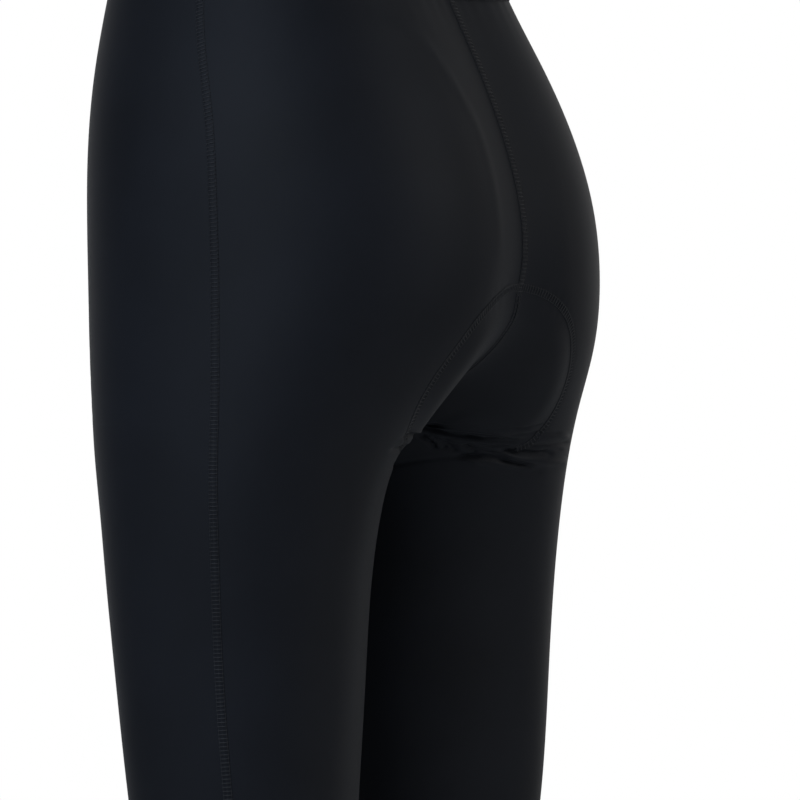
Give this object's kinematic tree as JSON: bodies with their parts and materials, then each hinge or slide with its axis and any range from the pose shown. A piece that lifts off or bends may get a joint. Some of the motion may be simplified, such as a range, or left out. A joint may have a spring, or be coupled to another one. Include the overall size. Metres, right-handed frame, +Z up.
{
  "type": "cycling tights",
  "caption": "Full-length close-fitting cycling tights with an elastic waistband, padding inside the seat and turned-up ankle hems, hollow and held in the form they take when worn.",
  "frame": {"origin": "middle of the waist opening, inside the waistband, where the garment is held", "axes": "+Z up, -Y towards the front of the garment, +X towards the wearer's left"},
  "size_m": [0.3306, 0.2444, 0.9896],
  "materials": {
    "cloth": "fine warp knit, dull sheen",
    "band": "covered elastic, matte",
    "pad": "brushed knit over foam, matte"
  },
  "bodies": {
    "root": {"waistband": "band", "left_front": "cloth", "left_back": "cloth", "right_front": "cloth", "right_back": "cloth", "left_hem": "cloth", "right_hem": "cloth", "seat_pad": "pad"}
  },
  "joints": []
}
